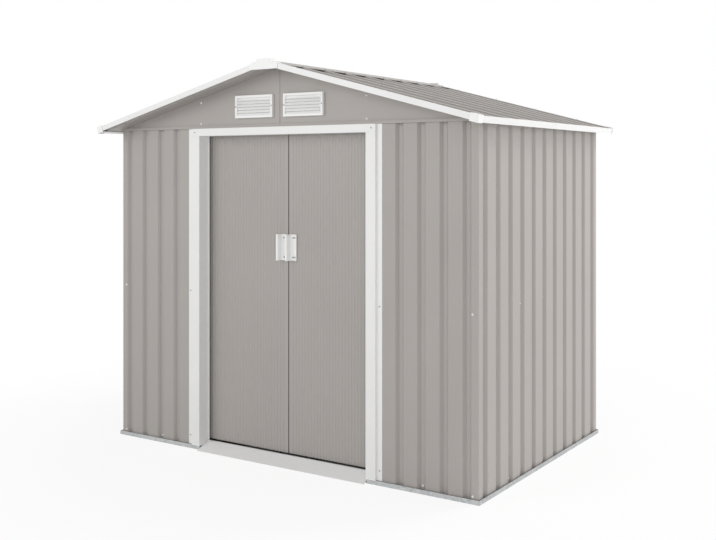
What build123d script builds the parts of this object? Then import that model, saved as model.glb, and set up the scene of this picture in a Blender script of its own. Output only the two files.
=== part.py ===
# Metal storage shed: ribbed steel sheet walls, a low gabled roof and two hanging sliding doors.
# Millimetres. X runs along the front, the front faces -Y, Z is up, and the origin lies on the
# ground under the middle of the shed.
import os
from math import cos, radians, sin, tan

from build123d import *

# Sheet metal and fits
sheet = 2.0
seat_gap = 0.3
overrun = 10.0
bend_radius = 5.0

# Walls: flat sheet with narrow grooves, standing in the floor rails
wall_width = 2000.0
wall_depth = 1170.0
wall_top = 1484.0
groove_spacing = 106.0
groove_mouth = 40.0
groove_floor = 18.0
groove_depth = 13.0
corner_side_groove_count = 3
corner_back_groove_count = 4
centre_share = 0.5

# Floor rails: galvanised channel with a low outer lip and a taller inner upstand
rail_outreach = 8.0
rail_inner_gap = 12.0
rail_lip = 18.0
rail_upstand = 30.0

# Inner rails and wall plates
mid_rail_height = 731.0
mid_rail_depth = 20.0
mid_rail_face = 40.0
wall_plate_leg = 30.0
door_pass_gap = 32.0

# Door frame
jamb_inner = 472.0
jamb_face = 49.0
jamb_flange = 27.0
jamb_proud = 12.0
jamb_return = 45.0
jamb_lip = 8.0
header_height = 34.0
frame_lap = 4.0

# Door sill
sill_toe = 26.0
sill_tail = 3.0
sill_height = 34.0
sill_flat = 8.0

# Door tracks
track_standoff = 5.0
track_web_rise = 22.0
track_floor_reach = 10.0
track_lip = 10.0
lower_track_foot = 22.0
lower_track_upstand = 26.0

# Doors
door_standoff = 15.0
door_thickness = 18.0
door_head_lap = 9.0
door_head_gap = 7.0
door_overlap = 20.0
door_meeting_gap = 6.0
door_rib_pitch = 17.0
door_rib_depth = 1.5
door_rib_crest_share = 0.5
door_channel = 20.0
door_channel_wall = 2.0

# Door hangers, guides and handles
hanger_width = 40.0
hanger_inset = 50.0
hanger_hook = 6.0
hanger_stem = 6.0
hanger_margin = 2.0
hanger_nib = 2.5
hanger_nib_drop = 6.0
hanger_running_gap = 2.5
guide_tine = 4.0
guide_running_gap = 1.0
guide_floor_gap = 8.0
guide_top_gap = 5.0
guide_bridge = 7.0
handle_width = 44.5
handle_height = 116.0
handle_plate = 5.0
handle_grip = 28.0
handle_grip_width = 13.0
handle_grip_wall = 3.0
handle_grip_round = 5.0
handle_edge = 0.5
handle_middle = 948.0

# Roof: wide pans between narrow raised ribs that run down the slope
roof_pitch = 14.3
eave_overhang = 50.0
gable_overhang = 100.0
sheet_pan_count = 3
roof_rib_crest = 36.0
roof_rib_foot = 60.0
roof_rib_height = 20.0
ridge_slit = 7.0
ridge_wing = 100.0

# Gables and vents
gable_wall_lap = 4.0
gable_lap = 24.0
gable_lap_root = 4.0
gable_hem = 12.0
gable_hem_proud = 5.0
vent_width = 217.0
vent_height = 100.0
vent_middle = 140.0
vent_rise = 92.0
vent_frame = 10.0
vent_depth = 12.0
vent_slat_count = 6
vent_slat_thickness = 2.0
vent_slat_tilt = 60.0
vent_slat_lap = 1.5

# Roof beams
beam_width = 40.0
beam_height = 30.0
purlin_share = 0.5

# Roof trims and caps
rake_face = 24.0
eave_drop = 3.0
cap_wall = 3.0
corner_cap_reach = 32.0
corner_cap_drop = 5.0
corner_cap_round = 6.0
end_cap_width = 156.0
end_cap_drop = 46.0
end_cap_flat = 78.0
end_cap_hood = 30.0

# Values worked out from the sizes above
half_width = wall_width / 2
half_depth = wall_depth / 2
wall_floor = groove_depth + sheet
front_groove_count = round(wall_width / groove_spacing)
side_groove_count = round(wall_depth / groove_spacing)
front_pitch = wall_width / front_groove_count
side_pitch = wall_depth / side_groove_count
front_grooves = [-half_width + front_pitch * (n + centre_share) for n in range(front_groove_count)]
side_grooves = [-half_depth + side_pitch * (n + centre_share) for n in range(side_groove_count)]
rail_inreach = wall_floor + rail_inner_gap
gable_bottom = wall_top - gable_wall_lap
header_bottom = gable_bottom - header_height
jamb_outer = jamb_inner + jamb_face
flange_outer = jamb_outer + jamb_flange
slope = radians(roof_pitch)
ridge_height = wall_top + seat_gap + half_width * tan(slope)
slope_length = (half_width + eave_overhang) / cos(slope)
roof_half_depth = half_depth + gable_overhang
roof_places = ("front", "middle", "back")
roof_rib_pitch = 2 * roof_half_depth / (sheet_pan_count * len(roof_places))
crest_height = roof_rib_height + sheet
jamb_back = -half_depth + jamb_return
track_front = jamb_back + track_standoff
door_front = jamb_back + door_standoff
door_back = door_front + door_thickness
door_outer = jamb_inner + door_overlap
door_inner = door_meeting_gap / 2
door_bottom = lower_track_upstand + guide_top_gap + guide_bridge
door_top = header_bottom + door_head_lap
track_floor = door_top + door_head_gap
roof_plane = Plane(
    origin=(0, 0, ridge_height),
    x_dir=(0, 1, 0),
    z_dir=(cos(slope), 0, -sin(slope)),
)


def block(x_low, x_high, y_low, y_high, z_low, z_high):
    """A box given by its two ends along each axis."""
    size = (x_high - x_low, y_high - y_low, z_high - z_low)
    middle = ((x_low + x_high) / 2, (y_low + y_high) / 2, (z_low + z_high) / 2)
    return Pos(*middle) * Box(*size)


def prism_x(outline, low, high):
    """An outline of (y, z) points drawn out along X."""
    face = make_face(Polyline(*[(low, y, z) for y, z in outline], close=True))
    return extrude(face, amount=high - low, dir=(1, 0, 0))


def prism_y(outline, low, high):
    """An outline of (x, z) points drawn out along Y."""
    face = make_face(Polyline(*[(x, low, z) for x, z in outline], close=True))
    return extrude(face, amount=high - low, dir=(0, 1, 0))


def prism_z(outline, low, high):
    """An outline of (x, y) points drawn out along Z."""
    face = make_face(Polyline(*[(x, y, low) for x, y in outline], close=True))
    return extrude(face, amount=high - low, dir=(0, 0, 1))


def rolled_sheet(outer, inner, low, high):
    """A sheet bent along Z between the (x, y) lines of its two faces, each bend rounded on its outside."""
    turns = [
        (b[0] - a[0]) * (c[1] - b[1]) - (b[1] - a[1]) * (c[0] - b[0])
        for a, b, c in zip(outer, outer[1:], outer[2:])
    ]
    outer_radii = [bend_radius if turn > 0 else 0 for turn in turns]
    inner_radii = [0 if turn > 0 else bend_radius for turn in turns]
    near = FilletPolyline(*[(x, y, low) for x, y in outer], radius=outer_radii)
    far = FilletPolyline(*[(x, y, low) for x, y in inner], radius=inner_radii)
    ends = [Line(near @ 0, far @ 0), Line(near @ 1, far @ 1)]
    face = make_face([*near.edges(), *far.edges(), *ends])
    return extrude(face, amount=high - low, dir=(0, 0, 1))


def other_side(shape):
    """The same piece on the other side, left for right."""
    return mirror(shape, about=Plane.YZ)


def other_end(shape):
    """The same piece at the other end, back for front."""
    return mirror(shape, about=Plane.XZ)


def on_roof(shape):
    """Lays a piece on the right slope: x along the ridge, y off the roof, z down the slope."""
    return roof_plane * shape


def roof_line(down, off):
    """The (x, z) place of a point on the right slope, down from the ridge and off the roof."""
    return (down * cos(slope) + off * sin(slope), ridge_height - down * sin(slope) + off * cos(slope))


def save(name, *solids):
    """Writes one node's solids to its file."""
    export_step(Compound(children=list(solids)), f"parts/{name}.step")


# A groove seen in plan: its four corners along the wall and into it
def groove_points(middle):
    return [
        (middle - groove_mouth / 2, 0),
        (middle - groove_floor / 2, groove_depth),
        (middle + groove_floor / 2, groove_depth),
        (middle + groove_mouth / 2, 0),
    ]


def half_groove_points(middle, opening):
    """The half of a groove that a sheet ends in; opening is -1 where the sheet lies before it."""
    foot = (middle + opening * groove_floor / 2, groove_depth)
    mouth = (middle + opening * groove_mouth / 2, 0)
    if opening < 0:
        return [mouth, foot, (middle, groove_depth)]
    return [(middle, groove_depth), foot, mouth]


def wall_run(start, end, grooves):
    """Points (along, into) of a wall sheet's outer face; a run that ends in a groove ends on its floor."""
    points = []
    if start not in grooves:
        points.append((start, 0))
    for middle in grooves:
        if middle == start:
            points += half_groove_points(middle, 1)
        elif middle == end:
            points += half_groove_points(middle, -1)
        elif start < middle < end:
            points += groove_points(middle)
    if end not in grooves:
        points.append((end, 0))
    return points


def flat_sheet(run):
    """A ribbed wall sheet along +X with its outer face towards -Y."""
    inner = [(along, into + sheet) for along, into in run]
    return rolled_sheet(run, inner, sheet, wall_top)


def corner_sheet(first_run, second_run):
    """A ribbed sheet bent round the front right corner: one run along the front, one along the side."""
    first = [(along, -half_depth + into) for along, into in first_run]
    second = [(half_width - into, along) for along, into in second_run]
    first_inner = [(along, y + sheet) for along, y in first]
    second_inner = [(x - sheet, along) for x, along in second]
    bend = (half_width - sheet, -half_depth + sheet)
    return rolled_sheet(first[:-1] + second, first_inner[:-1] + [bend] + second_inner[1:], sheet, wall_top)


os.makedirs("parts", exist_ok=True)

# Floor rails: the end rails run the full width, the side rails fit between them
def end_rail(x_start, x_end):
    """A right-hand length of front rail, closed by a lip at the corner."""
    outer = -half_depth - rail_outreach
    inner = -half_depth + rail_inreach
    rail = block(x_start, x_end, outer, inner, 0, sheet)
    rail += block(x_start, x_end, outer, outer + sheet, 0, rail_lip)
    rail += block(x_start, half_width - rail_inreach, inner - sheet, inner, 0, rail_upstand)
    rail += block(x_end - sheet, x_end, outer, inner, 0, rail_lip)
    return rail


rail_corner = half_width + rail_outreach
front_rail = end_rail(jamb_inner + sheet + seat_gap, rail_corner)
save("front_right_floor_rail", front_rail)
save("front_left_floor_rail", other_side(front_rail))
back_half_rail = other_end(end_rail(0, rail_corner))
save("back_floor_rail", back_half_rail + other_side(back_half_rail))

side_rail_end = half_depth - rail_inreach
side_rail = block(half_width - rail_inreach, rail_corner, -side_rail_end, side_rail_end, 0, sheet)
side_rail += block(rail_corner - sheet, rail_corner, -side_rail_end, side_rail_end, 0, rail_lip)
side_rail_inner = half_width - rail_inreach
side_rail += block(side_rail_inner, side_rail_inner + sheet, -side_rail_end, side_rail_end, 0, rail_upstand)
save("right_floor_rail", side_rail)
save("left_floor_rail", other_side(side_rail))

# Wall sheets: corner sheets bent round the corners, flat sheets between them
front_sheet_end = jamb_outer + frame_lap
clear_grooves = [groove for groove in front_grooves if groove - groove_mouth / 2 > flange_outer]
side_seam = side_grooves[corner_side_groove_count]
far_side_seam = side_grooves[-1 - corner_side_groove_count]
back_seam = front_grooves[-1 - corner_back_groove_count]
far_back_seam = front_grooves[corner_back_groove_count]
side_leg = wall_run(-half_depth, side_seam, side_grooves)
front_corner = corner_sheet(wall_run(front_sheet_end, half_width, clear_grooves), side_leg)
back_corner = other_end(corner_sheet(wall_run(back_seam, half_width, front_grooves), side_leg))
save("front_right_corner_sheet", front_corner)
save("front_left_corner_sheet", other_side(front_corner))
save("back_right_corner_sheet", back_corner)
save("back_left_corner_sheet", other_side(back_corner))

side_sheet = Rot(0, 0, 90) * flat_sheet(wall_run(side_seam, far_side_seam, side_grooves))
side_sheet = Pos(half_width, 0, 0) * side_sheet
save("right_side_sheet", side_sheet)
save("left_side_sheet", other_side(side_sheet))

middle_groove = front_grooves[front_groove_count // 2]
for name, start, end in (
    ("back_left_sheet", far_back_seam, middle_groove),
    ("back_right_sheet", middle_groove, back_seam),
):
    save(name, other_end(Pos(0, -half_depth, 0) * flat_sheet(wall_run(start, end, front_grooves))))

# Mid rails and wall plates: channels and angles screwed to the grooves' floors inside
inner_x = half_width - wall_floor
inner_y = half_depth - wall_floor
rail_low = mid_rail_height - mid_rail_face / 2
rail_high = mid_rail_height + mid_rail_face / 2


def channel_outline(wall, reach):
    """A channel on its side: flat against the wall at wall, open away from it by reach."""
    inside = wall + sheet if reach > 0 else wall - sheet
    tip = wall + reach
    return [
        (wall, rail_low),
        (tip, rail_low),
        (tip, rail_low + sheet),
        (inside, rail_low + sheet),
        (inside, rail_high - sheet),
        (tip, rail_high - sheet),
        (tip, rail_high),
        (wall, rail_high),
    ]


side_inner_start = door_back + door_pass_gap
side_mid_rail = prism_y(channel_outline(inner_x, -mid_rail_depth), side_inner_start, inner_y)
back_mid_reach = inner_x - mid_rail_depth - seat_gap
back_mid_rail = prism_x(channel_outline(inner_y, -mid_rail_depth), -back_mid_reach, back_mid_reach)
save("mid_rails", side_mid_rail, other_side(side_mid_rail), back_mid_rail)

plate_top = wall_top - sheet


def angle_outline(wall):
    """A wall plate: one leg down the wall, one leg out into the room."""
    return [
        (wall, plate_top),
        (wall, plate_top - wall_plate_leg),
        (wall - sheet, plate_top - wall_plate_leg),
        (wall - sheet, plate_top - sheet),
        (wall - wall_plate_leg, plate_top - sheet),
        (wall - wall_plate_leg, plate_top),
    ]


side_plate = prism_y(angle_outline(inner_x), side_inner_start, inner_y)
back_plate_reach = inner_x - wall_plate_leg - seat_gap
back_plate = prism_x(angle_outline(inner_y), -back_plate_reach, back_plate_reach)
save("wall_plates", side_plate, other_side(side_plate), back_plate)

# Door jambs: a flange on the wall sheet, a proud face, a return into the doorway and a lip
jamb_front = -half_depth - jamb_proud
jamb_foot = rail_lip + seat_gap
jamb_head = header_bottom - seat_gap
jamb_outline = [
    (flange_outer, -half_depth),
    (flange_outer, -half_depth - sheet),
    (jamb_outer, -half_depth - sheet),
    (jamb_outer, jamb_front),
    (jamb_inner, jamb_front),
    (jamb_inner, jamb_back),
    (jamb_inner + sheet, jamb_back),
    (jamb_inner + sheet, jamb_front + sheet),
    (jamb_outer - sheet, jamb_front + sheet),
    (jamb_outer - sheet, -half_depth),
]
jamb = prism_z(jamb_outline, jamb_foot, jamb_head)
lip_foot = sill_height + seat_gap
jamb += block(jamb_inner - jamb_lip, jamb_inner, jamb_back - sheet, jamb_back, lip_foot, jamb_head)
flange_start = jamb_outer + seat_gap
flange_head = gable_bottom - seat_gap
jamb += block(flange_start, flange_outer, -half_depth - sheet, -half_depth, jamb_foot, flange_head)
save("right_door_jamb", jamb)
save("left_door_jamb", other_side(jamb))

# Door header: a white channel with folded ends across the doorway, over the jambs and under the gable
header_outline = [
    (jamb_front, header_bottom),
    (track_front, header_bottom),
    (track_front, header_bottom + sheet),
    (jamb_front + sheet, header_bottom + sheet),
    (jamb_front + sheet, gable_bottom - sheet),
    (-half_depth, gable_bottom - sheet),
    (-half_depth, gable_bottom),
    (jamb_front, gable_bottom),
]
header = prism_x(header_outline, -jamb_outer, jamb_outer)
header_end = block(jamb_outer - sheet, jamb_outer, jamb_front, -half_depth, header_bottom, gable_bottom)
save("door_header", header + header_end + other_side(header_end))

# Upper door track: a hooked rail behind the header, from side wall to side wall
track_back = track_front + sheet
track_lip_back = track_back + track_floor_reach
track_lip_top = track_floor + sheet + track_lip
track_web_top = track_floor + track_web_rise
track_outline = [
    (track_front, header_bottom),
    (track_back, header_bottom),
    (track_back, track_floor),
    (track_lip_back, track_floor),
    (track_lip_back, track_lip_top),
    (track_lip_back - sheet, track_lip_top),
    (track_lip_back - sheet, track_floor + sheet),
    (track_back, track_floor + sheet),
    (track_back, track_web_top),
    (track_front, track_web_top),
]
track_reach = inner_x - seat_gap
save("upper_door_track", prism_x(track_outline, -track_reach, track_reach))

# Door sill: a white sheet ramp from the ground up to the doorway, folded down behind
sill_front = -half_depth - sill_toe
sill_back = jamb_back + sill_tail
sill_outline = [
    (sill_front, 0),
    (sill_front, sheet),
    (sill_back - sill_flat, sill_height),
    (sill_back, sill_height),
    (sill_back, 0),
    (sill_back - sheet, 0),
    (sill_back - sheet, sill_height - sheet),
    (sill_back - sill_flat, sill_height - sheet),
    (sill_front + sheet, 0),
]
sill_reach = jamb_inner - seat_gap
save("door_sill", prism_x(sill_outline, -sill_reach, sill_reach))

# Lower door track: a flat foot with an upstand that the doors' guides straddle
lower_upstand = door_front + door_thickness / 2 - sheet / 2
lower_track_back = lower_upstand + sheet + lower_track_foot
lower_track_reach = side_rail_inner - seat_gap
lower_track_outline = [
    (sill_back, 0),
    (lower_track_back, 0),
    (lower_track_back, sheet),
    (lower_upstand + sheet, sheet),
    (lower_upstand + sheet, lower_track_upstand),
    (lower_upstand, lower_track_upstand),
    (lower_upstand, sheet),
    (sill_back, sheet),
]
save("lower_door_track", prism_x(lower_track_outline, -lower_track_reach, lower_track_reach))

# Door leaves: finely ribbed sheet with its long edges folded back
rib_field = door_outer - door_inner - 2 * door_rib_pitch
door_rib_count = round(rib_field / door_rib_pitch)
rib_pitch = rib_field / door_rib_count
leaf_front = [(door_inner, door_front)]
for rib in range(door_rib_count):
    middle = door_inner + door_rib_pitch + rib_pitch * (rib + centre_share)
    half_crest = rib_pitch * door_rib_crest_share / 2
    leaf_front.append((middle - half_crest, door_front))
    leaf_front.append((middle - half_crest / 2, door_front + door_rib_depth))
    leaf_front.append((middle + half_crest / 2, door_front + door_rib_depth))
    leaf_front.append((middle + half_crest, door_front))
leaf_front.append((door_outer, door_front))
leaf_inner = [(x, y + sheet) for x, y in leaf_front[1:-1]]
leaf_outline = leaf_front + [
    (door_outer, door_back),
    (door_outer - sheet, door_back),
    (door_outer - sheet, door_front + sheet),
]
leaf_outline += list(reversed(leaf_inner))
leaf_outline += [
    (door_inner + sheet, door_front + sheet),
    (door_inner + sheet, door_back),
    (door_inner, door_back),
]
leaf = prism_z(leaf_outline, door_bottom, door_top)
save("right_door_leaf", leaf)
save("left_door_leaf", other_side(leaf))

# Door channels: stiffeners inside the leaf's top and bottom edges
channel_front = door_front + door_rib_depth + sheet + seat_gap
channel_ends = (door_inner + sheet + seat_gap, door_outer - sheet - seat_gap)


def door_channel_at(edge, inward):
    """A channel with its web on the door's edge and its legs turned into the door."""
    legs = sorted((edge, edge + inward * door_channel))
    web = sorted((edge, edge + inward * door_channel_wall))
    channel = block(*channel_ends, channel_front, door_back, *web)
    channel += block(*channel_ends, channel_front, channel_front + door_channel_wall, *legs)
    channel += block(*channel_ends, door_back - door_channel_wall, door_back, *legs)
    return channel


channels = [door_channel_at(door_bottom, 1), door_channel_at(door_top, -1)]
save("right_door_channels", *channels)
save("left_door_channels", *[other_side(channel) for channel in channels])

# Door runners: hooks that hang on the upper track and forks that straddle the lower one
stem_front = door_back - hanger_margin - hanger_stem
nib_front = track_back + hanger_running_gap
hook_bottom = track_lip_top + seat_gap
hanger_outline = [
    (stem_front, door_top),
    (stem_front + hanger_stem, door_top),
    (stem_front + hanger_stem, hook_bottom + hanger_hook),
    (nib_front, hook_bottom + hanger_hook),
    (nib_front, hook_bottom - hanger_nib_drop),
    (nib_front + hanger_nib, hook_bottom - hanger_nib_drop),
    (nib_front + hanger_nib, hook_bottom),
    (stem_front, hook_bottom),
]
slot_front = lower_upstand - guide_running_gap
slot_back = lower_upstand + sheet + guide_running_gap
tine_low = sheet + guide_floor_gap
guide_outline = [
    (slot_front - guide_tine, door_bottom),
    (slot_front - guide_tine, tine_low),
    (slot_front, tine_low),
    (slot_front, door_bottom - guide_bridge),
    (slot_back, door_bottom - guide_bridge),
    (slot_back, tine_low),
    (slot_back + guide_tine, tine_low),
    (slot_back + guide_tine, door_bottom),
]
runners = []
for start in (door_inner + hanger_inset, door_outer - hanger_inset - hanger_width):
    runners.append(prism_x(hanger_outline, start, start + hanger_width))
    runners.append(prism_x(guide_outline, start, start + hanger_width))
save("right_door_runners", *runners)
save("left_door_runners", *[other_side(runner) for runner in runners])

# Door handles: a screwed plate with a hollow grip that stands out along its outer edge
handle_low = handle_middle - handle_height / 2
handle_high = handle_middle + handle_height / 2
handle_inner = door_inner + handle_edge
handle_outer = handle_inner + handle_width
handle = block(handle_inner, handle_outer, door_front - handle_plate, door_front, handle_low, handle_high)
grip_front = door_front - handle_plate - handle_grip
grip_inner = handle_outer - handle_grip_width
grip = block(grip_inner, handle_outer, grip_front, door_front, handle_low, handle_high)
grip = fillet(grip.edges().filter_by(Axis.Z).group_by(Axis.Y)[0], handle_grip_round)
handle += grip
handle -= block(
    grip_inner + handle_grip_wall,
    handle_outer - handle_grip_wall,
    grip_front + handle_grip_wall,
    door_front + overrun,
    handle_low + handle_grip_wall,
    handle_high - handle_grip_wall,
)
save("right_door_handle", handle)
save("left_door_handle", other_side(handle))

# Gables: flat half sheets outside the walls' tops, hemmed below, the right one lapped over the left one
gable_top_end = ridge_height - half_width * tan(slope) - seat_gap
gable_outline = [
    (0, gable_bottom),
    (half_width, gable_bottom),
    (half_width, gable_top_end),
    (0, ridge_height - seat_gap),
]
gable_face = -half_depth - sheet
vent_low = gable_bottom + vent_rise - vent_height / 2
vent_high = vent_low + vent_height
vent_start = vent_middle - vent_width / 2
vent_end = vent_start + vent_width
plain_gable = prism_y(gable_outline, gable_face, -half_depth)
plain_gable -= block(
    vent_start + vent_frame,
    vent_end - vent_frame,
    gable_face - overrun,
    -half_depth + overrun,
    vent_low + vent_frame,
    vent_high - vent_frame,
)
hem_top = gable_bottom + gable_hem
hem_end = half_width - (hem_top - gable_top_end) / tan(slope)
hem_outline = [
    (0, gable_bottom),
    (half_width, gable_bottom),
    (half_width, gable_top_end),
    (hem_end, hem_top),
    (0, hem_top),
]
plain_gable += prism_y(hem_outline, gable_face - gable_hem_proud, gable_face)
lap_low = hem_top + seat_gap
lap_top = ridge_height - seat_gap - gable_lap * tan(slope)
lap_strip = block(-gable_lap, gable_lap_root, gable_face - sheet, gable_face, lap_low, lap_top)
lapped_gable = plain_gable + lap_strip
save("front_right_gable", lapped_gable)
save("front_left_gable", other_side(plain_gable))
save("back_left_gable", other_side(other_end(lapped_gable)))
save("back_right_gable", other_end(plain_gable))

# Vents: a plastic frame with tilted slats, over each opening in the gables
vent_front = gable_face - vent_depth
vent = block(vent_start, vent_end, vent_front, gable_face, vent_low, vent_high)
vent -= block(
    vent_start + vent_frame,
    vent_end - vent_frame,
    vent_front - overrun,
    gable_face + overrun,
    vent_low + vent_frame,
    vent_high - vent_frame,
)
slat_pitch = (vent_height - 2 * vent_frame) / vent_slat_count
slat_width = (slat_pitch + vent_slat_lap) / sin(radians(vent_slat_tilt))
for slat in range(vent_slat_count):
    height = vent_low + vent_frame + slat_pitch * (slat + centre_share)
    blade = Rot(vent_slat_tilt, 0, 0) * Box(vent_width - vent_frame, slat_width, vent_slat_thickness)
    vent += Pos(vent_middle, gable_face - vent_depth / 2, height) * blade
save("front_vents", vent, other_side(vent))
save("back_vents", other_end(vent), other_side(other_end(vent)))

# Roof beams: a ridge beam and two purlins between the gables
beam_top = ridge_height - beam_width / 2 * tan(slope) - seat_gap


def tube_outline(x_middle, z_top):
    """A downward-open channel: (x, z) points of a beam under the roof."""
    left = x_middle - beam_width / 2
    right = x_middle + beam_width / 2
    low = z_top - beam_height
    return [
        (left, low),
        (left, z_top),
        (right, z_top),
        (right, low),
        (right - sheet, low),
        (right - sheet, z_top - sheet),
        (left + sheet, z_top - sheet),
        (left + sheet, low),
    ]


save("ridge_beam", prism_y(tube_outline(0, beam_top), -half_depth, half_depth))

purlin_down = slope_length * purlin_share
purlin_outline = [(z, x) for x, z in tube_outline(purlin_down, -seat_gap)]
purlin_points = [(-half_depth, off, down) for off, down in purlin_outline]
purlin_profile = make_face(Polyline(*purlin_points, close=True))
purlin = on_roof(extrude(purlin_profile, amount=2 * half_depth, dir=(1, 0, 0)))
save("roof_purlins", purlin, other_side(purlin))

# Roof sheets: pans between raised ribs, lapped rib on rib where two sheets meet
def rib_points(middle):
    return [
        (middle - roof_rib_foot / 2, 0),
        (middle - roof_rib_crest / 2, roof_rib_height),
        (middle + roof_rib_crest / 2, roof_rib_height),
        (middle + roof_rib_foot / 2, 0),
    ]


for number, place in enumerate(roof_places):
    first = -roof_half_depth + roof_rib_pitch * sheet_pan_count * number
    last = first + roof_rib_pitch * sheet_pan_count
    lower = [(first, roof_rib_height)] + rib_points(first)[2:]
    for rib in range(1, sheet_pan_count):
        lower += rib_points(first + roof_rib_pitch * rib)
    lower += rib_points(last)[:2] + [(last, roof_rib_height)]
    upper = [(along, off + sheet) for along, off in lower]
    roof_sheet = on_roof(rolled_sheet(lower, upper, ridge_slit, slope_length))
    save(f"right_{place}_roof_sheet", roof_sheet)
    save(f"left_{place}_roof_sheet", other_side(roof_sheet))

# Ridge cap: a folded strip along the ridge that lies on the ribs' crests
trim_flange = roof_rib_crest / 2
cap_reach = roof_half_depth - trim_flange - seat_gap
ridge_right = [roof_line(ridge_wing, crest_height + sheet), roof_line(ridge_wing, crest_height)]
ridge_left = [(-x, z) for x, z in reversed(ridge_right)]
ridge_outline = [(0, ridge_height + (crest_height + sheet) / cos(slope))] + ridge_right
ridge_outline += [(0, ridge_height + crest_height / cos(slope))] + ridge_left
save("ridge_cap", prism_y(ridge_outline, -cap_reach, cap_reach))

# Rake trims: white angles down the front and back edges of the roof
trim_top = crest_height + sheet
rake_edge = -roof_half_depth
rake = block(rake_edge - sheet, rake_edge + trim_flange, crest_height, trim_top, ridge_slit, slope_length)
rake += block(rake_edge - sheet, rake_edge, trim_top - rake_face, trim_top, ridge_slit, slope_length)
rake_trim = on_roof(rake)
save("front_rake_trims", rake_trim, other_side(rake_trim))
save("back_rake_trims", other_end(rake_trim), other_side(other_end(rake_trim)))

# Eave trims: white strips along the sheets' lower ends, with a lip under the pans
eave_low = -eave_drop
eave = block(rake_edge, roof_half_depth, eave_low, trim_top, slope_length, slope_length + sheet)
eave_lip = eave_overhang / 2
eave += block(rake_edge, roof_half_depth, eave_low, eave_low + sheet, slope_length - eave_lip, slope_length)
eave_trim = on_roof(eave)
save("right_eave_trim", eave_trim)
save("left_eave_trim", other_side(eave_trim))

# Corner caps: moulded covers where the rake and eave trims meet
cover_end = slope_length + sheet + seat_gap
cover_edge = rake_edge - sheet - seat_gap
cover_top = trim_top + seat_gap
cap_low = -corner_cap_drop
cover = block(
    cover_edge - cap_wall,
    rake_edge + corner_cap_reach,
    cap_low,
    cover_top + cap_wall,
    slope_length - corner_cap_reach,
    cover_end + cap_wall,
)
cover_corner = cover.edges().filter_by(Axis.Y).group_by(Axis.Z)[-1].sort_by(Axis.X)[0]
cover = fillet(cover_corner, corner_cap_round)
cover -= block(
    cover_edge,
    rake_edge + corner_cap_reach + overrun,
    cap_low - overrun,
    cover_top,
    slope_length - corner_cap_reach - overrun,
    cover_end,
)
corner_cap = on_roof(cover)
back_cap = other_end(corner_cap)
save("eave_corner_caps", corner_cap, other_side(corner_cap), back_cap, other_side(back_cap))

# Ridge end caps: moulded covers over the ridge cap's ends and the tops of the rake trims
end_cap_front = rake_edge - sheet - seat_gap - cap_wall
hood_off = trim_top + seat_gap + cap_wall
hood_rise = ridge_height + hood_off / cos(slope)
end_cap_shoulder = hood_rise - end_cap_flat / 2 * tan(slope)
end_cap_side = hood_rise - end_cap_width / 2 * tan(slope)
end_cap_low = hood_rise - end_cap_drop
end_cap_right = [
    (end_cap_flat / 2, hood_rise),
    (end_cap_flat / 2, end_cap_shoulder),
    (end_cap_width / 2, end_cap_side),
    (end_cap_width / 2, end_cap_low),
]
end_cap_outline = end_cap_right + [(-x, z) for x, z in reversed(end_cap_right)]
hood_inner = ridge_height + (trim_top + seat_gap) / cos(slope)
hollow_outline = [
    (0, hood_inner),
    (end_cap_width, hood_inner - end_cap_width * tan(slope)),
    (end_cap_width, end_cap_low - overrun),
    (-end_cap_width, end_cap_low - overrun),
    (-end_cap_width, hood_inner - end_cap_width * tan(slope)),
]
end_cap = prism_y(end_cap_outline, end_cap_front, end_cap_front + end_cap_hood)
end_cap -= prism_y(hollow_outline, end_cap_front + cap_wall, end_cap_front + end_cap_hood + overrun)
save("ridge_end_caps", end_cap, other_end(end_cap))
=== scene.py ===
# A garden shed of thin ribbed steel sheet, about 2.1 m wide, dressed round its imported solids.
# Metres, +Z up, the doorway faces -Y. Sections follow the order in which the shed is put up.
import math

import bmesh
import bpy
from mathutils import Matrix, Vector


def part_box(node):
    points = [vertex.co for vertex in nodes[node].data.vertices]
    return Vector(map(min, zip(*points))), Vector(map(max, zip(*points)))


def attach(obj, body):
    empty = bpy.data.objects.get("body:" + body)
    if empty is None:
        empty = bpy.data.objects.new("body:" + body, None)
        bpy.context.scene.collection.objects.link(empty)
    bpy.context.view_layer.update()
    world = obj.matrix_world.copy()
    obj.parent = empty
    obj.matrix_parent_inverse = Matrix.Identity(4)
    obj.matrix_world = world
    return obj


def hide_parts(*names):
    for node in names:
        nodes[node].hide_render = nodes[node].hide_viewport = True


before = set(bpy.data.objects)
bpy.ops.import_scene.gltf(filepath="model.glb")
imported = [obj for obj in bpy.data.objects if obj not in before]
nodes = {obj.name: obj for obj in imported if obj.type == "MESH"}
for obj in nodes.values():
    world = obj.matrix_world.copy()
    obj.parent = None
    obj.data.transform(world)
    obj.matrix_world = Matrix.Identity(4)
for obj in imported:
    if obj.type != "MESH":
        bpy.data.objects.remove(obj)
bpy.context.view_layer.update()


# Floor rails: channel rolled from galvanised strip, laid flat on the ground and screwed together.
# The wall sheets stand in it, so only its outer lip shows. Hot-dip zinc is a cool grey with faint
# crystals about a centimetre across and a dull shine.
MM = 0.001
ZINC_GREY = "#C6C8C8"
ZINC_GREY_DARK = "#A9ACAD"


def linear(hex_colour):
    """An sRGB hex colour as linear RGBA."""
    channels = [int(hex_colour[place : place + 2], 16) / 255 for place in (1, 3, 5)]
    return [c / 12.92 if c <= 0.04045 else ((c + 0.055) / 1.055) ** 2.4 for c in channels] + [1.0]


def feed(tree, node, inputs):
    """Sets a node's inputs, each to a number, a colour or another node's output."""
    for name, value in inputs.items():
        if isinstance(value, bpy.types.NodeSocket):
            tree.links.new(value, node.inputs[name])
        else:
            node.inputs[name].default_value = value


def add_node(tree, kind, inputs, **settings):
    """Adds a node with its settings and inputs."""
    node = tree.nodes.new(kind)
    for name, value in settings.items():
        setattr(node, name, value)
    feed(tree, node, inputs)
    return node


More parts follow.
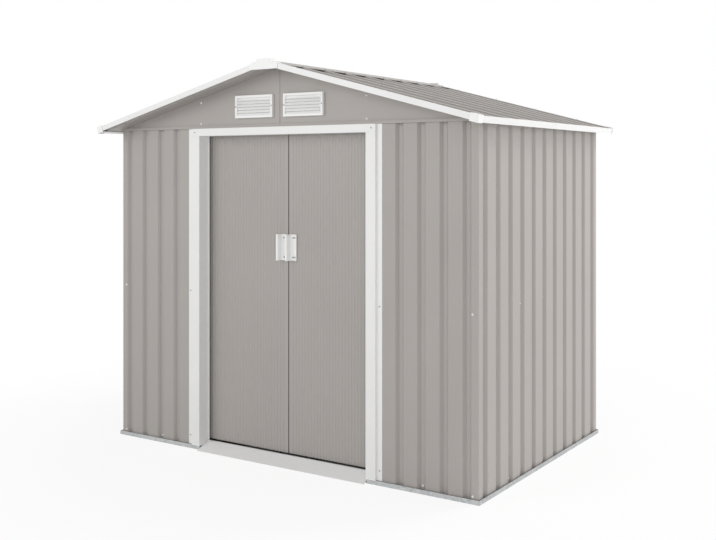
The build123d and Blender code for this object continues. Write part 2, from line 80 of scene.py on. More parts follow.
def new_material(name):
    """A node material, with its tree, its shader and the object coordinates."""
    material = bpy.data.materials.new(name)
    material.use_nodes = True
    tree = material.node_tree
    place = add_node(tree, "ShaderNodeTexCoord", {}).outputs["Object"]
    return material, tree, tree.nodes["Principled BSDF"], place


def coat(material, *names):
    """Gives CAD pieces a finish."""
    for name in names:
        nodes[name].data.materials.clear()
        nodes[name].data.materials.append(material)


def galvanised_steel():
    """Hot-dipped strip: each zinc crystal has its own shade and its own dullness."""
    material, tree, shader, place = new_material("galvanised_steel")
    spangle_mm = 11
    buckle_mm = 60
    buckle_depth_mm = 0.3
    spangle = add_node(tree, "ShaderNodeTexVoronoi", {"Vector": place, "Scale": 1 / (spangle_mm * MM)})
    crystal = spangle.outputs["Color"]
    colours = {"Fac": crystal, "Color1": linear(ZINC_GREY_DARK), "Color2": linear(ZINC_GREY)}
    zinc = add_node(tree, "ShaderNodeMixRGB", colours)
    dullness = add_node(tree, "ShaderNodeMapRange", {"Value": crystal, "To Min": 0.34, "To Max": 0.48})
    buckle = add_node(tree, "ShaderNodeTexNoise", {"Vector": place, "Scale": 1 / (buckle_mm * MM)})
    surface = {"Height": buckle.outputs["Fac"], "Distance": buckle_depth_mm * MM}
    relief = add_node(tree, "ShaderNodeBump", surface)
    finish = {
        "Base Color": zinc.outputs["Color"],
        "Metallic": 0.85,
        "Roughness": dullness.outputs["Result"],
        "Normal": relief.outputs["Normal"],
    }
    feed(tree, shader, finish)
    return material


zinc_coat = galvanised_steel()
floor_runs = ("front_left", "front_right", "left", "right", "back")
coat(zinc_coat, *[f"{run}_floor_rail" for run in floor_runs])


# Wall sheets: zinc-coated steel about 0.3 mm thick, painted on the coil and then rolled into flats
# and narrow grooves. Corner sheets are bent on a press, and laps are screwed in the grooves.
# The satin paint shows faint lines along the rolling and a slow waviness of the thin flats.
SHEET_GREY = "#ABA6A2"
SHEET_GREY_DARK = "#A49F9B"
# A wave texture of scale 1 repeats after this many metres.
BAND_PERIOD = math.pi / 10


def painted_sheet(name, line_pitch_mm, across, line_depth_mm, wave_depth_mm):
    """Coil-painted steel; across is the direction in which its rolled lines follow each other."""
    material, tree, shader, place = new_material(name)
    cloud_mm = 420
    peel_mm = 9
    wave_mm = 260
    clouding = {"Vector": place, "Scale": 1 / (cloud_mm * MM), "Detail": 3.0}
    cloud = add_node(tree, "ShaderNodeTexNoise", clouding)
    colours = {"Fac": cloud.outputs["Fac"], "Color1": linear(SHEET_GREY_DARK), "Color2": linear(SHEET_GREY)}
    paint = add_node(tree, "ShaderNodeMixRGB", colours)
    peel = add_node(tree, "ShaderNodeTexNoise", {"Vector": place, "Scale": 1 / (peel_mm * MM)})
    satin = {"Value": peel.outputs["Fac"], "To Min": 0.4, "To Max": 0.52}
    gloss = add_node(tree, "ShaderNodeMapRange", satin)
    waving = {"Vector": place, "Scale": 1 / (wave_mm * MM), "Detail": 1.0}
    wave = add_node(tree, "ShaderNodeTexNoise", waving)
    surface = {"Height": wave.outputs["Fac"], "Distance": wave_depth_mm * MM}
    waviness = add_node(tree, "ShaderNodeBump", surface)
    along = add_node(tree, "ShaderNodeVectorMath", {0: place, 1: across}, operation="DOT_PRODUCT")
    rolling = {"Vector": along.outputs["Value"], "Scale": BAND_PERIOD / (line_pitch_mm * MM)}
    lines = add_node(tree, "ShaderNodeTexWave", rolling)
    surface = {
        "Height": lines.outputs["Fac"],
        "Distance": line_depth_mm * MM,
        "Normal": waviness.outputs["Normal"],
    }
    relief = add_node(tree, "ShaderNodeBump", surface)
    finish = {
        "Base Color": paint.outputs["Color"],
        "Roughness": gloss.outputs["Result"],
        "IOR": 1.5,
        "Normal": relief.outputs["Normal"],
    }
    feed(tree, shader, finish)
    return material


wall_paint = painted_sheet(
    "coil_painted_wall_sheet",
    line_pitch_mm=17.6,
    across=(1, 1, 0),
    line_depth_mm=0.25,
    wave_depth_mm=1.6,
)
corners = [f"{end}_{side}_corner_sheet" for end in ("front", "back") for side in ("left", "right")]
coat(wall_paint, "left_side_sheet", "right_side_sheet", "back_left_sheet", "back_right_sheet", *corners)


# Mid rails and wall plates: galvanised channel and angle screwed to the grooves inside the walls.
# They stiffen the sheets and carry the roof, and show only through the open doorway.
coat(zinc_coat, "mid_rails", "wall_plates")


# Door frame: jambs, header and ramped sill, folded from thin steel sheet and powder-coated white.
# The jambs lap the wall sheets, the header lies over the jambs' heads, the sill is trodden on.
# Powder coat is a soft white with a very fine orange peel.
POWDER_WHITE = "#EDEDEC"
POWDER_WHITE_DIM = "#E7E7E6"


def powder_coat():
    """Baked polyester powder on folded steel."""
    material, tree, shader, place = new_material("white_powder_coat")
    cloud_mm = 240
    gloss_mm = 14
    wave_mm = 180
    wave_depth_mm = 0.5
    peel_mm = 3
    peel_depth_mm = 0.03
    cloud = add_node(tree, "ShaderNodeTexNoise", {"Vector": place, "Scale": 1 / (cloud_mm * MM)})
    colours = {
        "Fac": cloud.outputs["Fac"],
        "Color1": linear(POWDER_WHITE_DIM),
        "Color2": linear(POWDER_WHITE),
    }
    powder = add_node(tree, "ShaderNodeMixRGB", colours)
    patch = add_node(tree, "ShaderNodeTexNoise", {"Vector": place, "Scale": 1 / (gloss_mm * MM)})
    satin = {"Value": patch.outputs["Fac"], "To Min": 0.34, "To Max": 0.46}
    gloss = add_node(tree, "ShaderNodeMapRange", satin)
    waving = {"Vector": place, "Scale": 1 / (wave_mm * MM), "Detail": 1.0}
    wave = add_node(tree, "ShaderNodeTexNoise", waving)
    surface = {"Height": wave.outputs["Fac"], "Distance": wave_depth_mm * MM}
    waviness = add_node(tree, "ShaderNodeBump", surface)
    peel = add_node(tree, "ShaderNodeTexNoise", {"Vector": place, "Scale": 1 / (peel_mm * MM)})
    surface = {
        "Height": peel.outputs["Fac"],
        "Distance": peel_depth_mm * MM,
        "Normal": waviness.outputs["Normal"],
    }
    relief = add_node(tree, "ShaderNodeBump", surface)
    finish = {
        "Base Color": powder.outputs["Color"],
        "Roughness": gloss.outputs["Result"],
        "IOR": 1.5,
        "Normal": relief.outputs["Normal"],
    }
    feed(tree, shader, finish)
    return material


white_coat = powder_coat()
coat(white_coat, "left_door_jamb", "right_door_jamb", "door_header", "door_sill")


# Door tracks: a hooked upper rail behind the header and a low upstand behind the sill, both folded
# from galvanised strip. The doors hang on the upper one and are steered by the lower one.
coat(zinc_coat, "upper_door_track", "lower_door_track")


# Doors: painted steel leaves with fine pressed ribs, galvanised channels in their top and bottom
# edges, black nylon hangers and guides. The leaves have the walls' paint with finer rolled lines.
door_paint = painted_sheet(
    "coil_painted_door_sheet",
    line_pitch_mm=6.0,
    across=(1, 0, 0),
    line_depth_mm=0.06,
    wave_depth_mm=1.2,
)
coat(door_paint, "left_door_leaf", "right_door_leaf")
coat(zinc_coat, "left_door_channels", "right_door_channels")

NYLON_BLACK = "#1B1B1C"
NYLON_BLACK_PALE = "#242425"


def nylon():
    """Injection-moulded nylon, near black, with the mould's fine grain."""
    material, tree, shader, place = new_material("black_nylon")
    cloud_mm = 5
    grain_mm = 2
    grain_depth_mm = 0.05
    cloud = add_node(tree, "ShaderNodeTexNoise", {"Vector": place, "Scale": 1 / (cloud_mm * MM)})
    colours = {
        "Fac": cloud.outputs["Fac"],
        "Color1": linear(NYLON_BLACK),
        "Color2": linear(NYLON_BLACK_PALE),
    }
    tint = add_node(tree, "ShaderNodeMixRGB", colours)
    grain = add_node(tree, "ShaderNodeTexNoise", {"Vector": place, "Scale": 1 / (grain_mm * MM)})
    surface = {"Height": grain.outputs["Fac"], "Distance": grain_depth_mm * MM}
    relief = add_node(tree, "ShaderNodeBump", surface)
    finish = {"Base Color": tint.outputs["Color"], "Roughness": 0.5, "Normal": relief.outputs["Normal"]}
    feed(tree, shader, finish)
    return material


coat(nylon(), "left_door_runners", "right_door_runners")


# Door handles: moulded in white polypropylene, a screwed plate with a rim, and a grip that stands off
# the door beside a hollow for the fingers. Both doors carry the same moulding, its grip on the left.
# The plastic is slightly waxy, with soft edges and a fine spark-eroded grain.
PLASTIC_WHITE = "#F4F4F3"
PLASTIC_WHITE_DIM = "#EEEEED"
GRIP_WIDTH = 13 * MM
GRIP_NOSE = 5 * MM
FINGER_HOLLOW = 9 * MM
PLATE_THICKNESS = 5 * MM
RIM_RADIUS = 2 * MM
MOULDED_EDGE = 1.2 * MM
MOULDED_EDGE_STEPS = 3
ARC_STEPS = 6
SHARP_ANGLE = math.radians(40)
# Directions in the moulding's outline, in degrees: along the door and off it.
RIGHT = 0
OFF_DOOR = 90
LEFT = 180
TO_DOOR = 270


def polypropylene():
    """Moulded polypropylene: a waxy white with a fine grain."""
    material, tree, shader, place = new_material("white_polypropylene")
    cloud_mm = 60
    grain_mm = 2
    grain_depth_mm = 0.04
    cloud = add_node(tree, "ShaderNodeTexNoise", {"Vector": place, "Scale": 1 / (cloud_mm * MM)})
    colours = {
        "Fac": cloud.outputs["Fac"],
        "Color1": linear(PLASTIC_WHITE_DIM),
        "Color2": linear(PLASTIC_WHITE),
    }
    tint = add_node(tree, "ShaderNodeMixRGB", colours)
    grain = add_node(tree, "ShaderNodeTexNoise", {"Vector": place, "Scale": 1 / (grain_mm * MM)})
    surface = {"Height": grain.outputs["Fac"], "Distance": grain_depth_mm * MM}
    relief = add_node(tree, "ShaderNodeBump", surface)
    finish = {
        "Base Color": tint.outputs["Color"],
        "Roughness": 0.42,
        "IOR": 1.49,
        "Normal": relief.outputs["Normal"],
    }
    feed(tree, shader, finish)
    return material


white_plastic = polypropylene()


def arc(centre, radius, first, last):
    """Points along an arc between two angles in degrees."""
    turns = [math.radians(first + (last - first) * step / ARC_STEPS) for step in range(ARC_STEPS + 1)]
    return [(centre[0] + radius * math.cos(turn), centre[1] + radius * math.sin(turn)) for turn in turns]


def handle_outline(width, depth):
    """The moulding cut across, as distances along the door and off it: grip, hollow, plate, rim."""
    outline = [(0, 0)]
    outline += arc((GRIP_NOSE, depth - GRIP_NOSE), GRIP_NOSE, LEFT, OFF_DOOR)
    outline += arc((GRIP_WIDTH - GRIP_NOSE, depth - GRIP_NOSE), GRIP_NOSE, OFF_DOOR, RIGHT)
    hollow_middle = (GRIP_WIDTH + FINGER_HOLLOW, PLATE_THICKNESS + FINGER_HOLLOW)
    outline += arc(hollow_middle, FINGER_HOLLOW, LEFT, TO_DOOR)
    outline += arc((width - RIM_RADIUS, PLATE_THICKNESS), RIM_RADIUS, LEFT, RIGHT)
    return outline + [(width, 0)]


for door in ("left_door", "right_door"):
    handle_low, handle_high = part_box(f"{door}_handle")
    outline = handle_outline(handle_high.x - handle_low.x, handle_high.y - handle_low.y)
    body = bmesh.new()
    ends = []
    for height in (handle_low.z, handle_high.z):
        places = [(handle_low.x + along, handle_high.y - off, height) for along, off in outline]
        ends.append([body.verts.new(place) for place in places])
        body.faces.new(ends[-1])
    for number in range(len(outline)):
        bottom = [ends[0][number - 1], ends[0][number]]
        top = [ends[1][number], ends[1][number - 1]]
        body.faces.new(bottom + top)
    bmesh.ops.recalc_face_normals(body, faces=body.faces)
    moulding = bpy.data.meshes.new(f"{door}_moulded_handle")
    body.to_mesh(moulding)
    body.free()
    moulding.materials.append(white_plastic)
    moulding.shade_smooth()
    moulding.set_sharp_from_angle(angle=SHARP_ANGLE)
    piece = bpy.data.objects.new(moulding.name, moulding)
    bpy.context.collection.objects.link(piece)
    soft_edges = piece.modifiers.new("soft_edges", "BEVEL")
    soft_edges.width = MOULDED_EDGE
    soft_edges.segments = MOULDED_EDGE_STEPS
    soft_edges.angle_limit = SHARP_ANGLE
    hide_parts(f"{door}_handle")
    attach(piece, door)


# Gables: flat painted sheets over the wall tops, hemmed below and lapped at the middle.
# The louvred vents are white polypropylene, screwed over holes in the gables.
gable_paint = painted_sheet(
    "coil_painted_gable_sheet",
    line_pitch_mm=17.6,
    across=(1, 0, 0),
    line_depth_mm=0.0,
    wave_depth_mm=1.6,
)
coat(gable_paint, *[f"{end}_{side}_gable" for end in ("front", "back") for side in ("left", "right")])
coat(white_plastic, "front_vents", "back_vents")


# Roof beams: a ridge beam and two purlins of galvanised channel between the gables.
# They carry the roof sheets and show only from inside.
coat(zinc_coat, "ridge_beam", "roof_purlins")


# Roof sheets and ridge cap: the walls' painted steel, rolled with raised ribs that run down the slope.
# The rolled lines run with the ribs, so they follow each other along the ridge.
roof_paint = painted_sheet(
    "coil_painted_roof_sheet",
    line_pitch_mm=24.0,
    across=(0, 1, 0),
    line_depth_mm=0.3,
    wave_depth_mm=1.4,
)
coat(roof_paint, "ridge_cap")
for side in ("left", "right"):
    coat(roof_paint, *[f"{side}_{place}_roof_sheet" for place in ("front", "middle", "back")])


# Roof trims and caps: white powder-coated strips on the roof's edges, with moulded white covers
# where they meet at the eaves and at the ridge.
coat(white_coat, "front_rake_trims", "back_rake_trims", "left_eave_trim", "right_eave_trim")
coat(white_plastic, "eave_corner_caps", "ridge_end_caps")


# Screws: zinc-plated steel with a pan head and a cross recess, driven through a soft white plastic
# washer that keeps the rain out. On the walls and gables the heads are coated white too.
# One node tree puts a washer and a head on every point of a mesh, turned to face off the sheet.
SCREW_SIZES = {
    "Washer Radius": 5.0 * MM,
    "Washer Height": 1.2 * MM,
    "Head Radius": 3.5 * MM,
    "Head Crown": 2.4 * MM,
    "Head Height": 2.2 * MM,
    "Recess Length": 3.4 * MM,
    "Recess Width": 0.9 * MM,
    "Recess Depth": 1.0 * MM,
}
SCREW_SIDES = 12
SCREW_SEED = 7
PLATING_GREY = "#A8ABAD"
PLATING_GREY_DARK = "#94979A"


def zinc_plate():
    """Zinc plating dulled by passivation, slightly cloudy."""
    material, tree, shader, place = new_material("zinc_plated_steel")
    cloud_mm = 4
    cloud = add_node(tree, "ShaderNodeTexNoise", {"Vector": place, "Scale": 1 / (cloud_mm * MM)})
    colours = {
        "Fac": cloud.outputs["Fac"],
        "Color1": linear(PLATING_GREY_DARK),
        "Color2": linear(PLATING_GREY),
    }
    plating = add_node(tree, "ShaderNodeMixRGB", colours)
    haze = {"Value": cloud.outputs["Fac"], "To Min": 0.3, "To Max": 0.4}
    gloss = add_node(tree, "ShaderNodeMapRange", haze)
    finish = {"Base Color": plating.outputs["Color"], "Metallic": 0.9, "Roughness": gloss.outputs["Result"]}
    feed(tree, shader, finish)
    return material


def screws_on_points():
    """The node tree: a washer and a cross-recessed head on each point, along its facing attribute."""
    tree = bpy.data.node_groups.new("screws_on_points", "GeometryNodeTree")
    tree.interface.new_socket("Geometry", in_out="INPUT", socket_type="NodeSocketGeometry")
    for name in SCREW_SIZES:
        tree.interface.new_socket(name, in_out="INPUT", socket_type="NodeSocketFloat")
    for name in ("Head Material", "Washer Material"):
        tree.interface.new_socket(name, in_out="INPUT", socket_type="NodeSocketMaterial")
    tree.interface.new_socket("Geometry", in_out="OUTPUT", socket_type="NodeSocketGeometry")
    given = tree.nodes.new("NodeGroupInput").outputs

    disc = {
        "Vertices": SCREW_SIDES,
        "Radius Bottom": given["Washer Radius"],
        "Radius Top": given["Head Radius"],
        "Depth": given["Washer Height"],
    }
    washer = add_node(tree, "GeometryNodeMeshCone", disc)
    mark = {"Geometry": washer.outputs["Mesh"], "Name": "washer", "Value": True}
    marked = add_node(tree, "GeometryNodeStoreNamedAttribute", mark, data_type="BOOLEAN", domain="FACE")

    pan = {
        "Vertices": SCREW_SIDES,
        "Radius Bottom": given["Head Radius"],
        "Radius Top": given["Head Crown"],
        "Depth": given["Head Height"],
    }
    head = add_node(tree, "GeometryNodeMeshCone", pan)
    arm = {"X": given["Recess Length"], "Y": given["Recess Width"], "Z": given["Recess Depth"]}
    arm_size = add_node(tree, "ShaderNodeCombineXYZ", arm)
    bar = add_node(tree, "GeometryNodeMeshCube", {"Size": arm_size.outputs["Vector"]})
    crown = add_node(tree, "ShaderNodeCombineXYZ", {"Z": given["Head Height"]})
    recessed = add_node(
        tree,
        "GeometryNodeMeshBoolean",
        {"Mesh 1": head.outputs["Mesh"]},
        operation="DIFFERENCE",
        solver="EXACT",
    )
    for turn in (0, math.pi / 2):
        set_in = {
            "Geometry": bar.outputs["Mesh"],
            "Translation": crown.outputs["Vector"],
            "Rotation": (0, 0, turn),
        }
        cut = add_node(tree, "GeometryNodeTransform", set_in)
        feed(tree, recessed, {"Mesh 2": cut.outputs["Geometry"]})
    lift = add_node(tree, "ShaderNodeCombineXYZ", {"Z": given["Washer Height"]})
    seat = {"Geometry": recessed.outputs["Mesh"], "Translation": lift.outputs["Vector"]}
    seated = add_node(tree, "GeometryNodeTransform", seat)
    screw = add_node(tree, "GeometryNodeJoinGeometry", {"Geometry": marked.outputs["Geometry"]})
    feed(tree, screw, {"Geometry": seated.outputs["Geometry"]})

    facing = add_node(tree, "GeometryNodeInputNamedAttribute", {"Name": "facing"}, data_type="FLOAT_VECTOR")
    outward = add_node(
        tree,
        "FunctionNodeAlignRotationToVector",
        {"Vector": facing.outputs["Attribute"]},
        axis="Z",
    )
    # Inputs 2 and 3 and output 1 are the random node's lowest, highest and picked float.
    quarter_turn = {2: 0.0, 3: math.pi / 2, "Seed": SCREW_SEED}
    spin = add_node(tree, "FunctionNodeRandomValue", quarter_turn, data_type="FLOAT")
    twist = {"Axis": (0, 0, 1), "Angle": spin.outputs[1]}
    turned = add_node(tree, "FunctionNodeAxisAngleToRotation", twist)
    pose = {"Rotation": outward.outputs["Rotation"], "Rotate By": turned.outputs["Rotation"]}
    posed = add_node(tree, "FunctionNodeRotateRotation", pose, rotation_space="LOCAL")
    spread = {
        "Points": given["Geometry"],
        "Instance": screw.outputs["Geometry"],
        "Rotation": posed.outputs["Rotation"],
    }
    placed = add_node(tree, "GeometryNodeInstanceOnPoints", spread)
    real = add_node(tree, "GeometryNodeRealizeInstances", {"Geometry": placed.outputs["Instances"]})
    metal = {"Geometry": real.outputs["Geometry"], "Material": given["Head Material"]}
    plated = add_node(tree, "GeometryNodeSetMaterial", metal)
    is_washer = add_node(tree, "GeometryNodeInputNamedAttribute", {"Name": "washer"}, data_type="BOOLEAN")
    plastic = {
        "Geometry": plated.outputs["Geometry"],
        "Selection": is_washer.outputs["Attribute"],
        "Material": given["Washer Material"],
    }
    sealed = add_node(tree, "GeometryNodeSetMaterial", plastic)
    add_node(tree, "NodeGroupOutput", {"Geometry": sealed.outputs["Geometry"]})
    return tree


screw_tree = screws_on_points()
dull_zinc = zinc_plate()


def drive_screws(name, body, screws, sizes, head, washer):
    """One mesh with a screw at each (place, facing) of a body, in two materials."""
    screw_inputs = {**sizes, "Head Material": head, "Washer Material": washer}
    points = bpy.data.meshes.new(name)
    points.from_pydata([place for place, facing in screws], [], [])
    outward = points.attributes.new("facing", "FLOAT_VECTOR", "POINT")
    for number, (place, facing) in enumerate(screws):
        outward.data[number].vector = facing
    piece = bpy.data.objects.new(name, points)
    bpy.context.collection.objects.link(piece)
    modifier = piece.modifiers.new("screws", "NODES")
    modifier.node_group = screw_tree
    for socket in screw_tree.interface.items_tree:
        if socket.name in screw_inputs:
            modifier[socket.identifier] = screw_inputs[socket.name]
    evaluated = piece.evaluated_get(bpy.context.evaluated_depsgraph_get())
    solid = bpy.data.meshes.new_from_object(evaluated)
    piece.modifiers.remove(modifier)
    piece.data = solid
    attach(piece, body)


# Where the screws of the walls go: in grooves that lie on the inner rails, and beside the front corners.
# Grooves are counted from 0: on the sides from the front, on the back from -X, on the front from its ends.
SHEET = 2 * MM
BASE_ROW = 27 * MM
MID_ROW = 731 * MM
TOP_ROW = 1467 * MM
CORNER_INSET = 27 * MM
FRONT_GROOVES = 19
SIDE_GROOVES = 11
FRONT_SCREW_GROOVE = 2
BACK_SCREW_GROOVES = (1, 4, 7, 9, 11, 14, 17)
SIDE_SCREW_GROOVES = {BASE_ROW: (2, 5, 8), MID_ROW: (3, 5, 7), TOP_ROW: (1, 3, 5, 7, 9)}
wall_low, wall_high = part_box("right_side_sheet")
wall_x = wall_high.x
wall_y = -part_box("front_right_corner_sheet")[0].y
groove_depth = wall_x - wall_low.x - SHEET
front_pitch = 2 * wall_x / FRONT_GROOVES
side_pitch = 2 * wall_y / SIDE_GROOVES


def middle_of(number, pitch):
    """How far along its row the middle of a groove or pan lies."""
    return pitch * (number + 1 / 2)


shell_screws = []
for side in (-1, 1):
    for row, numbers in SIDE_SCREW_GROOVES.items():
        for number in numbers:
            along = -wall_y + middle_of(number, side_pitch)
            shell_screws.append(((side * (wall_x - groove_depth), along, row), (side, 0, 0)))
for row in (BASE_ROW, MID_ROW, TOP_ROW):
    for number in BACK_SCREW_GROOVES:
        along = -wall_x + middle_of(number, front_pitch)
        shell_screws.append(((along, wall_y - groove_depth, row), (0, 1, 0)))
for side in (-1, 1):
    for row in (BASE_ROW, MID_ROW):
        shell_screws.append(((side * (wall_x - CORNER_INSET), -wall_y, row), (0, -1, 0)))
    along = side * (wall_x - middle_of(FRONT_SCREW_GROOVE, front_pitch))
    shell_screws.append(((along, -wall_y + groove_depth, BASE_ROW), (0, -1, 0)))

# On the door frame: in the jambs' flanges, low down and at the mid rails, and at the header's ends.
JAMB_FOOT_ROW = 60 * MM
FLANGE_INSET = 12 * MM
HEADER_INSET = 21 * MM
jamb_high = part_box("right_door_jamb")[1]
header_low, header_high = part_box("door_header")
header_middle = (header_low.z + header_high.z) / 2
trim_screws = []
for side in (-1, 1):
    for row in (JAMB_FOOT_ROW, MID_ROW):
        place = (side * (jamb_high.x - FLANGE_INSET), -wall_y - SHEET, row)
        trim_screws.append((place, (0, -1, 0)))
    place = (side * (header_high.x - HEADER_INSET), header_low.y, header_middle)
    trim_screws.append((place, (0, -1, 0)))

# On the gables and vents, front and back: over the hem, under the roof and beside the louvres.
GABLE_SCREW_X = 470 * MM
HEM_ROW = 1502 * MM
UNDER_ROOF_ROW = 1599 * MM
VENT_EDGE = 5 * MM
VENT_MIDDLE = 140 * MM
vent_low, vent_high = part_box("front_vents")
vent_z = (vent_low.z + vent_high.z) / 2
vent_outer = vent_high.x - VENT_EDGE
vent_inner = 2 * VENT_MIDDLE - vent_outer
for end in (-1, 1):
    for side in (-1, 1):
        for row in (HEM_ROW, UNDER_ROOF_ROW):
            place = (side * GABLE_SCREW_X, end * (wall_y + SHEET), row)
            shell_screws.append((place, (0, end, 0)))
        for place_x in (vent_inner, vent_outer):
            place = (side * place_x, -end * vent_low.y, vent_z)
            trim_screws.append((place, (0, end, 0)))

drive_screws("shell_screws", "shell", shell_screws, SCREW_SIZES, white_plastic, white_plastic)

# On the roof: along the ridge cap on the ribs, down the laps, above the eaves and on the rake trims.
# Those on the cap and the sheets have heads and washers in the roof's colour, so they hardly show.
ROOF_PITCH = math.radians(14.3)
RIB_CREST = 22 * MM
ROOF_PANS = 9
eave_low, eave_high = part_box("right_front_roof_sheet")
roof_front = eave_low.y
pan_pitch = -2 * roof_front / ROOF_PANS
eave_x = eave_high.x - RIB_CREST * math.sin(ROOF_PITCH)
slope_length = eave_x / math.cos(ROOF_PITCH)


def roof_screw(side, along, down, off):
    """A screw on a slope: along the ridge, down from the ridge and off the pans' underside."""
    place_x = down * math.cos(ROOF_PITCH) + off * math.sin(ROOF_PITCH)
    rise = (slope_length - down) * math.sin(ROOF_PITCH) + off * math.cos(ROOF_PITCH)
    facing = (side * math.sin(ROOF_PITCH), 0, math.cos(ROOF_PITCH))
    return (side * place_x, along, eave_low.z + rise), facing


CAP_ROW = 85 * MM
EAVE_INSET = 32 * MM
LAP_ROWS_MM = (300, 520, 740, 960)
RAKE_ROWS_MM = (160, 400, 640, 880)
RAKE_INSET = 8 * MM
SHEET_PANS = 3
roof_screws = []
for side in (-1, 1):
    for rib in range(1, ROOF_PANS):
        along = roof_front + pan_pitch * rib
        roof_screws.append(roof_screw(side, along, CAP_ROW, RIB_CREST + SHEET))
        if rib % SHEET_PANS == 0:
            for row in LAP_ROWS_MM:
                roof_screws.append(roof_screw(side, along, row * MM, RIB_CREST))
    for pan in range(ROOF_PANS):
        along = roof_front + middle_of(pan, pan_pitch)
        roof_screws.append(roof_screw(side, along, slope_length - EAVE_INSET, SHEET))
    for end in (-1, 1):
        for row in RAKE_ROWS_MM:
            along = -end * (roof_front + RAKE_INSET)
            trim_screws.append(roof_screw(side, along, row * MM, RIB_CREST + SHEET))
drive_screws("roof_screws", "shell", roof_screws, SCREW_SIZES, roof_paint, roof_paint)
drive_screws("trim_screws", "shell", trim_screws, SCREW_SIZES, dull_zinc, white_plastic)

# On the doors: four in the flat of each handle's plate, with a thin steel flange in place of the washer.
HANDLE_END = 15 * MM
FLAT_SHARES = (1 / 4, 3 / 4)
HANDLE_SCREW_SIZES = {**SCREW_SIZES, "Washer Radius": 3.8 * MM, "Washer Height": 0.5 * MM}
for door in ("left_door", "right_door"):
    handle_low, handle_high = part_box(f"{door}_handle")
    flat_start = handle_low.x + GRIP_WIDTH + FINGER_HOLLOW
    flat_end = handle_high.x - 2 * RIM_RADIUS
    door_screws = []
    for place_z in (handle_low.z + HANDLE_END, handle_high.z - HANDLE_END):
        for share in FLAT_SHARES:
            place_x = flat_start + (flat_end - flat_start) * share
            place = (place_x, handle_high.y - PLATE_THICKNESS, place_z)
            door_screws.append((place, (0, -1, 0)))
    drive_screws(f"{door}_screws", door, door_screws, HANDLE_SCREW_SIZES, dull_zinc, dull_zinc)


# Studio: a pale seamless floor, soft lights and a level camera at the photograph's viewing angle.
# The floor and the world show white behind the shed, and the floor still takes its shadow.
FLOOR_WHITE = "#F4F4F4"
FLOOR_HALF = 40.0
AMBIENT_STRENGTH = 0.56


def seen_directly(tree):
    """1 for rays that show the background: from the camera, or mirrored or refracted."""
    path = add_node(tree, "ShaderNodeLightPath", {})
    rays = {0: path.outputs["Is Camera Ray"], 1: path.outputs["Is Glossy Ray"]}
    seen = add_node(tree, "ShaderNodeMath", rays, operation="MAXIMUM")
    rays = {0: seen.outputs["Value"], 1: path.outputs["Is Transmission Ray"]}
    return add_node(tree, "ShaderNodeMath", rays, operation="MAXIMUM").outputs["Value"]


def studio_floor():
    """Matt paper: shaded inside the shed, with its shadow round it, and plain white further out."""
    material, tree, shader, place = new_material("studio_floor")
    shadow_reach = 1.2
    white_reach = 2.6
    near_white_share = 0.86
    feed(tree, shader, {"Base Color": linear(FLOOR_WHITE), "Roughness": 0.9, "Specular IOR Level": 0.0})
    glow = add_node(tree, "ShaderNodeEmission", {"Color": (1, 1, 1, 1), "Strength": 1.0})
    distance = add_node(tree, "ShaderNodeVectorMath", {0: place}, operation="LENGTH")
    fade = {
        "Value": distance.outputs["Value"],
        "From Min": shadow_reach,
        "From Max": white_reach,
        "To Min": near_white_share,
        "To Max": 1.0,
    }
    white = add_node(tree, "ShaderNodeMapRange", fade)
    shares = {0: seen_directly(tree), 1: white.outputs["Result"]}
    share = add_node(tree, "ShaderNodeMath", shares, operation="MULTIPLY")
    spot = add_node(tree, "ShaderNodeSeparateXYZ", {"Vector": place})
    outside = []
    for axis, reach in (("X", wall_x), ("Y", wall_y)):
        off = add_node(tree, "ShaderNodeMath", {0: spot.outputs[axis]}, operation="ABSOLUTE")
        past = {0: off.outputs["Value"], 1: reach}
        outside.append(add_node(tree, "ShaderNodeMath", past, operation="GREATER_THAN").outputs["Value"])
    either = add_node(tree, "ShaderNodeMath", {0: outside[0], 1: outside[1]}, operation="MAXIMUM")
    shares = {0: share.outputs["Value"], 1: either.outputs["Value"]}
    glow_share = add_node(tree, "ShaderNodeMath", shares, operation="MULTIPLY")
    layers = {"Fac": glow_share.outputs["Value"], 1: shader.outputs["BSDF"], 2: glow.outputs["Emission"]}
    paper = add_node(tree, "ShaderNodeMixShader", layers)
    feed(tree, tree.nodes["Material Output"], {"Surface": paper.outputs["Shader"]})
    return material


floor_mesh = bpy.data.meshes.new("studio_floor")
floor_corners = [(-FLOOR_HALF, -FLOOR_HALF, 0), (FLOOR_HALF, -FLOOR_HALF, 0)]
floor_corners += [(FLOOR_HALF, FLOOR_HALF, 0), (-FLOOR_HALF, FLOOR_HALF, 0)]
floor_mesh.from_pydata(floor_corners, [], [(0, 1, 2, 3)])
floor = bpy.data.objects.new("studio_floor", floor_mesh)
bpy.context.collection.objects.link(floor)
floor_mesh.materials.append(studio_floor())

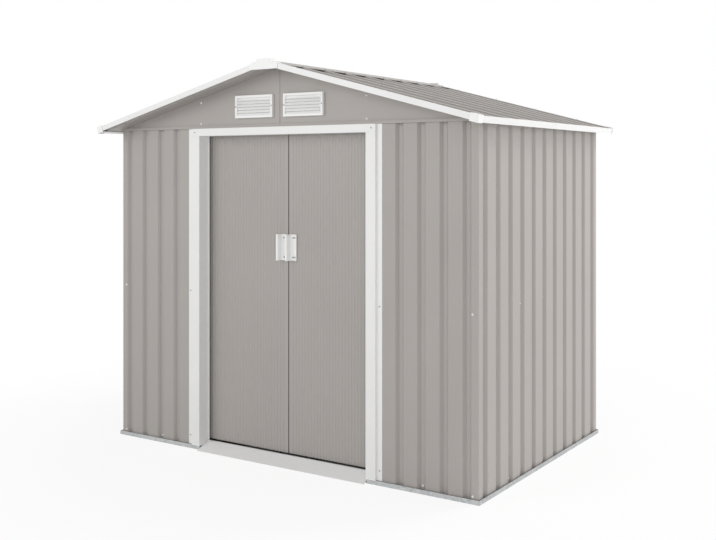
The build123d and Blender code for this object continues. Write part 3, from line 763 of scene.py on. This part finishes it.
world = bpy.data.worlds.new("studio")
bpy.context.scene.world = world
world.use_nodes = True
surround = {"Value": seen_directly(world.node_tree), "To Min": AMBIENT_STRENGTH, "To Max": 1.0}
strength = add_node(world.node_tree, "ShaderNodeMapRange", surround)
sky = {"Color": (1, 1, 1, 1), "Strength": strength.outputs["Result"]}
feed(world.node_tree, world.node_tree.nodes["Background"], sky)

SHED_MIDDLE = (0, 0, 0.9)


def softbox(name, place, size, watts):
    """A square area lamp that faces the middle of the shed."""
    lamp = bpy.data.lights.new(name, "AREA")
    lamp.size = size
    lamp.energy = watts
    holder = bpy.data.objects.new(name, lamp)
    holder.location = place
    holder.rotation_euler = (Vector(SHED_MIDDLE) - Vector(place)).to_track_quat("-Z", "Y").to_euler()
    bpy.context.collection.objects.link(holder)


softbox("side_light", place=(5.2, 1.4, 1.5), size=3.0, watts=57)
softbox("front_light", place=(-2.4, -4.6, 2.8), size=3.0, watts=64)
softbox("fill_light", place=(3.0, -4.6, 1.2), size=3.0, watts=42)
softbox("top_light", place=(3.0, 3.5, 5.0), size=2.5, watts=160)

# The camera looks level, so upright edges stay upright, and its lens is shifted as the photograph's is.
IMAGE_WIDTH = 716
IMAGE_HEIGHT = 540
PRINCIPAL_X = 470
PRINCIPAL_Y = 170
FOCAL_PIXELS = 962.2
SENSOR_WIDTH = 36.0
CAMERA_PLACE = (2.827, -3.808, 1.290)
LEVEL = math.radians(90)
HEADING = math.radians(30.06)
camera_data = bpy.data.cameras.new("camera")
camera_data.sensor_width = SENSOR_WIDTH
camera_data.lens = FOCAL_PIXELS / IMAGE_WIDTH * SENSOR_WIDTH
camera_data.shift_x = (IMAGE_WIDTH / 2 - PRINCIPAL_X) / IMAGE_WIDTH
camera_data.shift_y = (PRINCIPAL_Y - IMAGE_HEIGHT / 2) / IMAGE_WIDTH
camera = bpy.data.objects.new("camera", camera_data)
camera.location = CAMERA_PLACE
camera.rotation_euler = (LEVEL, 0, HEADING)
bpy.context.collection.objects.link(camera)
bpy.context.scene.camera = camera
bpy.context.scene.view_settings.view_transform = "Standard"
